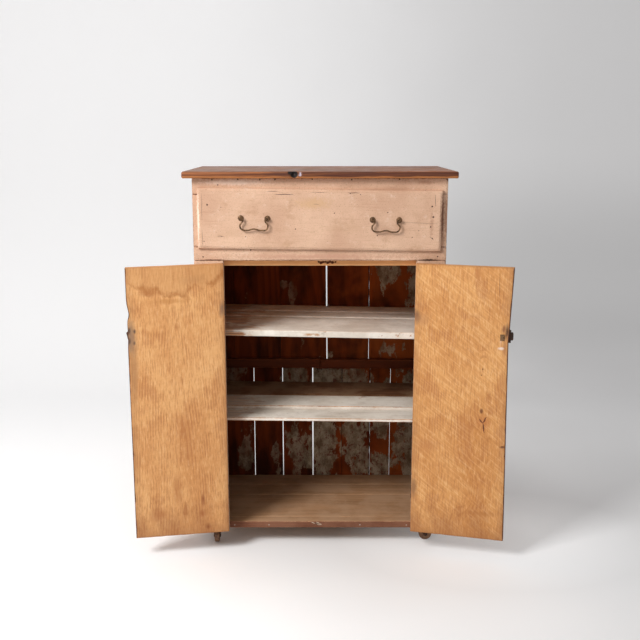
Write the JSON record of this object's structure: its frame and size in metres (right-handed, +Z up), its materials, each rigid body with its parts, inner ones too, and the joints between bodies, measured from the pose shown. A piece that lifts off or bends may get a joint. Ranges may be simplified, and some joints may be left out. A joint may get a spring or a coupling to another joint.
{
  "type": "bakers cabinet",
  "caption": "Painted pine cabinet on casters: lipped drawer with bail pulls over a cupboard with open plank doors, plank shelves and a gapped plank back.",
  "frame": {"origin": "on the ground, under the middle of the object's box as it stands with both doors swung open", "axes": "+X to the right as seen from the front, +Y to the back, +Z up"},
  "size_m": [1.1109, 0.5218, 1.15],
  "materials": {
    "pink_paint": "worn matt milk paint, rubbed at the edges",
    "stained_pine": "red-brown stain under worn varnish",
    "door_pine": "bare planed pine, darkened to amber",
    "bare_pine": "bare pine, dry and dusty",
    "shelf_paint": "thin worn off-white paint over pine",
    "old_brown": "old dark stain, rubbed at the edges",
    "back_brown": "dark red-brown stain with peeling paint",
    "dark_iron": "dull brown-black iron",
    "aged_brass": "aged brass, nearly brown",
    "wheel_wood": "turned hardwood, scuffed"
  },
  "bodies": {
    "cabinet": {"top_board": "stained_pine", "side_left": "pink_paint", "side_right": "pink_paint", "top_rail": "pink_paint", "drawer_rail": "pink_paint", "drawer_stiles": "pink_paint", "stile_left": "pink_paint", "stile_right": "pink_paint", "dust_board": "old_brown", "drawer_runner_left": "bare_pine", "drawer_runner_right": "bare_pine", "upper_shelf_front": "shelf_paint", "upper_shelf_middle": "shelf_paint", "upper_shelf_back": "shelf_paint", "lower_shelf_front": "shelf_paint", "lower_shelf_middle": "shelf_paint", "lower_shelf_back": "old_brown", "floor_front_strip": "old_brown", "floor_front_board": "old_brown", "floor_middle_board": "old_brown", "floor_back_board": "old_brown", "shelf_cleats": "old_brown", "back_boards_upper": "back_brown", "back_boards_lower": "back_brown", "back_batten_left": "old_brown", "back_batten_right": "old_brown", "back_rail_top": "old_brown", "caster_plates": "dark_iron", "frame_hinge_leaves": "dark_iron", "hinge_pins": "dark_iron"},
    "drawer": {"drawer_front": "pink_paint", "drawer_side_left": "bare_pine", "drawer_side_right": "bare_pine", "drawer_back": "bare_pine", "drawer_bottom": "bare_pine", "pull_posts": "aged_brass", "pull_nuts": "dark_iron"},
    "bail_left": {"bail_left": "aged_brass"},
    "bail_right": {"bail_right": "aged_brass"},
    "door_left": {"door_left_board": "door_pine", "door_left_leaves": "dark_iron", "catch_keeper": "dark_iron"},
    "door_right": {"door_right_board": "door_pine", "door_right_leaves": "dark_iron", "catch_plate": "dark_iron", "catch_case": "dark_iron"},
    "catch_knob": {"catch_knob": "aged_brass"},
    "catch_bolt": {"catch_bolt": "dark_iron"},
    "horn_front_left": {"caster_horn_front_left": "dark_iron"},
    "wheel_front_left": {"caster_wheel_front_left": "wheel_wood"},
    "horn_front_right": {"caster_horn_front_right": "dark_iron"},
    "wheel_front_right": {"caster_wheel_front_right": "wheel_wood"},
    "horn_back_left": {"caster_horn_back_left": "dark_iron"},
    "wheel_back_left": {"caster_wheel_back_left": "wheel_wood"},
    "horn_back_right": {"caster_horn_back_right": "dark_iron"},
    "wheel_back_right": {"caster_wheel_back_right": "wheel_wood"}
  },
  "joints": [
    {"name": "drawer_slide", "type": "slide", "parent": "cabinet", "child": "drawer", "axis": [0, -1, 0], "range_m": [0, 0.3]},
    {"name": "bail_left_swing", "type": "hinge", "parent": "drawer", "child": "bail_left", "pos_m": [-0.18796, -0.1863, 1.0173], "axis": [-0.9999, 0, 0.0122], "range_deg": [-10, 170]},
    {"name": "bail_right_swing", "type": "hinge", "parent": "drawer", "child": "bail_right", "pos_m": [0.18802, -0.1863, 1.0127], "axis": [-0.9999, 0, 0.0122], "range_deg": [-10, 170]},
    {"name": "door_left_hinge", "type": "hinge", "parent": "cabinet", "child": "door_left", "pos_m": [-0.2795, -0.1682, 0.469], "axis": [0, 0, 1], "range_deg": [-10, 170]},
    {"name": "door_right_hinge", "type": "hinge", "parent": "cabinet", "child": "door_right", "pos_m": [0.2795, -0.1682, 0.469], "axis": [0, 0, -1], "range_deg": [-14, 166]},
    {"name": "catch_turn", "type": "hinge", "parent": "door_right", "child": "catch_knob", "pos_m": [0.52341, -0.23365, 0.686], "axis": [0.2419, 0.9703, 0], "range_deg": [-35, 35]},
    {"name": "catch_bolt_slide", "type": "slide", "parent": "door_right", "child": "catch_bolt", "axis": [0.9703, -0.2419, 0], "range_m": [-0.0049, 0.0049]},
    {"name": "swivel_front_left", "type": "hinge", "parent": "cabinet", "child": "horn_front_left", "pos_m": [-0.322, -0.102, 0.05], "axis": [0, 0, 1], "continuous": true},
    {"name": "roll_front_left", "type": "hinge", "parent": "horn_front_left", "child": "wheel_front_left", "pos_m": [-0.322, -0.119, 0.02], "axis": [1, 0, 0], "continuous": true},
    {"name": "swivel_front_right", "type": "hinge", "parent": "cabinet", "child": "horn_front_right", "pos_m": [0.314, -0.102, 0.05], "axis": [0, 0, 1], "continuous": true},
    {"name": "roll_front_right", "type": "hinge", "parent": "horn_front_right", "child": "wheel_front_right", "pos_m": [0.331, -0.102, 0.02], "axis": [0, 1, 0], "continuous": true},
    {"name": "swivel_back_left", "type": "hinge", "parent": "cabinet", "child": "horn_back_left", "pos_m": [-0.322, 0.202, 0.05], "axis": [0, 0, 1], "continuous": true},
    {"name": "roll_back_left", "type": "hinge", "parent": "horn_back_left", "child": "wheel_back_left", "pos_m": [-0.32919, 0.21741, 0.02], "axis": [-0.9063, -0.4226, 0], "continuous": true},
    {"name": "swivel_back_right", "type": "hinge", "parent": "cabinet", "child": "horn_back_right", "pos_m": [0.314, 0.202, 0.05], "axis": [0, 0, 1], "continuous": true},
    {"name": "roll_back_right", "type": "hinge", "parent": "horn_back_right", "child": "wheel_back_right", "pos_m": [0.32493, 0.21502, 0.02], "axis": [-0.766, 0.6428, 0], "continuous": true}
  ],
  "couplings": [
    {"joint": "catch_bolt_slide", "follows": "catch_turn", "m_per_rad": 0.0078}
  ]
}
